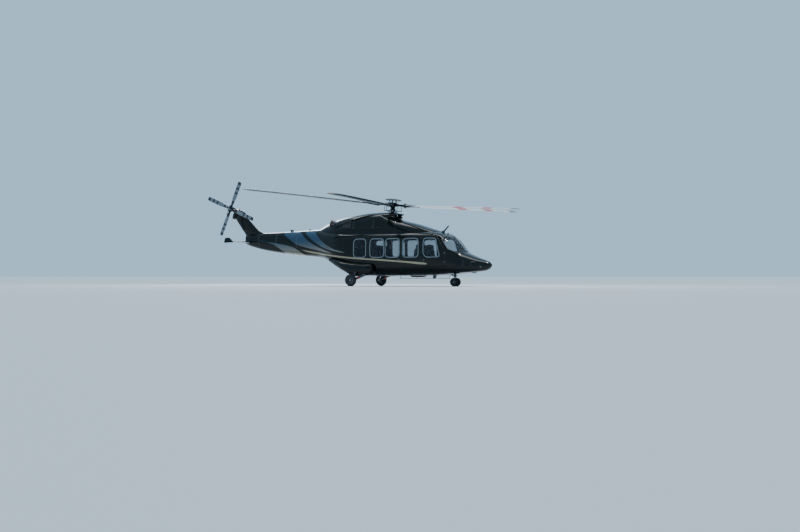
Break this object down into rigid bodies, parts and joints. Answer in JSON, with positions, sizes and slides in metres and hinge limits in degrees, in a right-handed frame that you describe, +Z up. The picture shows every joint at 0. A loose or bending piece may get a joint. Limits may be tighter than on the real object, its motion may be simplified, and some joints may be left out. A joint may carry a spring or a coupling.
{
  "type": "medium twin-engine helicopter",
  "caption": "Wheeled helicopter parked on its gear, with a passenger cabin behind the cockpit, a main rotor on a tilted mast and a tail rotor on a swept fin.",
  "frame": {"origin": "middle of the flat belly hard point, right under the main rotor hub, 0.45 m above the ground", "axes": "+X towards the nose, +Y to port, +Z up"},
  "size_m": [16.2146, 12.7736, 4.9057],
  "materials": {
    "gloss_paint": "gloss",
    "tinted_glass": "gloss",
    "tyre_rubber": "matte",
    "dark_metal": "satin",
    "machined_steel": "satin",
    "piston_chrome": "polished",
    "exhaust_steel": "matte",
    "blade_composite": "satin",
    "seat_leather": "satin",
    "panel_plastic": "matte"
  },
  "bodies": {
    "root": {"cabin_shell": "gloss_paint", "nose_section": "gloss_paint", "rear_fuselage": "gloss_paint", "tail_boom": "gloss_paint", "tail_fin": "gloss_paint", "stabilizer": "gloss_paint", "roof_fairing": "gloss_paint", "engine_cowling": "gloss_paint", "sponson_left": "gloss_paint", "sponson_right": "gloss_paint", "cabin_door_left": "gloss_paint", "cabin_door_right": "gloss_paint", "windshield_left": "tinted_glass", "windshield_right": "tinted_glass", "front_window_left": "tinted_glass", "front_window_right": "tinted_glass", "door_window_front_left": "tinted_glass", "door_window_front_right": "tinted_glass", "door_window_rear_left": "tinted_glass", "door_window_rear_right": "tinted_glass", "rear_window_left": "tinted_glass", "rear_window_right": "tinted_glass", "engine_left": "machined_steel", "engine_right": "machined_steel", "exhaust_duct_left": "exhaust_steel", "exhaust_duct_right": "exhaust_steel", "main_gearbox": "dark_metal", "main_gear_leg_left": "dark_metal", "main_gear_leg_right": "dark_metal", "nose_gear_strut": "dark_metal", "pilot_seat_left": "seat_leather", "pilot_seat_right": "seat_leather", "cabin_seats_row_1": "seat_leather", "cabin_seats_row_2": "seat_leather", "cabin_seats_row_3": "seat_leather", "instrument_panel": "panel_plastic", "belly_aerial": "dark_metal", "wire_cutter": "dark_metal"},
    "main_rotor": {"rotor_head": "dark_metal", "rotor_cap": "dark_metal", "main_blade_1": "blade_composite", "main_blade_2": "blade_composite", "main_blade_3": "blade_composite", "main_blade_4": "blade_composite", "main_blade_5": "blade_composite"},
    "tail_rotor": {"tail_rotor_head": "dark_metal", "tail_blade_1": "blade_composite", "tail_blade_2": "blade_composite", "tail_blade_3": "blade_composite", "tail_blade_4": "blade_composite"},
    "nose_leg": {"nose_gear_lower_leg": "piston_chrome"},
    "nose_wheels": {"nose_wheels": "tyre_rubber"},
    "main_wheel_left": {"main_wheel_left": "tyre_rubber"},
    "main_wheel_right": {"main_wheel_right": "tyre_rubber"},
    "cockpit_door_left": {"cockpit_door_left": "gloss_paint", "cockpit_door_window_left": "tinted_glass"},
    "cockpit_door_right": {"cockpit_door_right": "gloss_paint", "cockpit_door_window_right": "tinted_glass"}
  },
  "joints": [
    {"name": "main_rotor_spin", "type": "hinge", "parent": "root", "child": "main_rotor", "pos_m": [0, 0, 3.2], "axis": [0.0872, 0, 0.9962], "continuous": true},
    {"name": "tail_rotor_spin", "type": "hinge", "parent": "root", "child": "tail_rotor", "pos_m": [-8.24, -0.6, 3.18], "axis": [0, -1, 0], "continuous": true},
    {"name": "nose_steer", "type": "hinge", "parent": "root", "child": "nose_leg", "pos_m": [3.05, 0, 0], "axis": [0, 0, 1], "range_deg": [-60, 60]},
    {"name": "nose_wheels_spin", "type": "hinge", "parent": "nose_leg", "child": "nose_wheels", "pos_m": [3.05, 0, -0.26], "axis": [0, 1, 0], "continuous": true},
    {"name": "main_wheel_left_spin", "type": "hinge", "parent": "root", "child": "main_wheel_left", "pos_m": [-1.35, 1.52, -0.18], "axis": [0, 1, 0], "continuous": true},
    {"name": "main_wheel_right_spin", "type": "hinge", "parent": "root", "child": "main_wheel_right", "pos_m": [-1.35, -1.52, -0.18], "axis": [0, 1, 0], "continuous": true},
    {"name": "cockpit_door_left_swing", "type": "hinge", "parent": "root", "child": "cockpit_door_left", "pos_m": [3.005, 1.085, 0.8], "axis": [0, 0, -1], "range_deg": [0, 70]},
    {"name": "cockpit_door_right_swing", "type": "hinge", "parent": "root", "child": "cockpit_door_right", "pos_m": [3.005, -1.085, 0.8], "axis": [0, 0, 1], "range_deg": [0, 70]}
  ],
  "couplings": [
    {"joint": "tail_rotor_spin", "follows": "main_rotor_spin", "ratio": 4.74}
  ]
}
